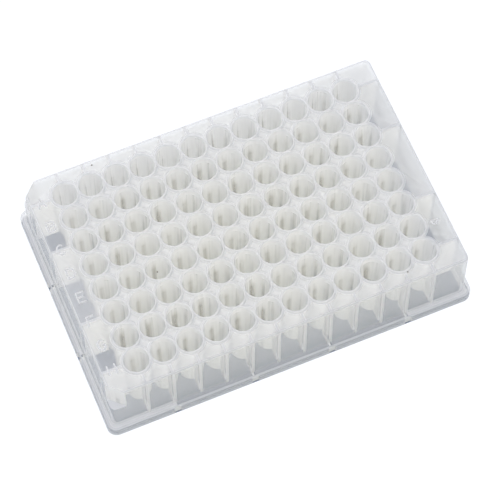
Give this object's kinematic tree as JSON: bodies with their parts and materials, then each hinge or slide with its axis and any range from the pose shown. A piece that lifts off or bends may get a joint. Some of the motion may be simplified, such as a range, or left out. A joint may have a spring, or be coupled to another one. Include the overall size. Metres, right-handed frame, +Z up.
{
  "type": "deep well plate",
  "caption": "Translucent polypropylene laboratory plate: a grid of deep round wells with raised rims, two cut corners, ribbed skirt and base flange",
  "frame": {"origin": "middle of the footprint, on the table", "axes": "+X along the long side from column 1 to column 12, +Y across from row H to row A, +Z up out of the wells"},
  "size_m": [0.1278, 0.0854, 0.027],
  "materials": {
    "natural_polypropylene": "satin moulded, milky translucent"
  },
  "bodies": {
    "root": {"well_plate": "natural_polypropylene"}
  },
  "joints": []
}
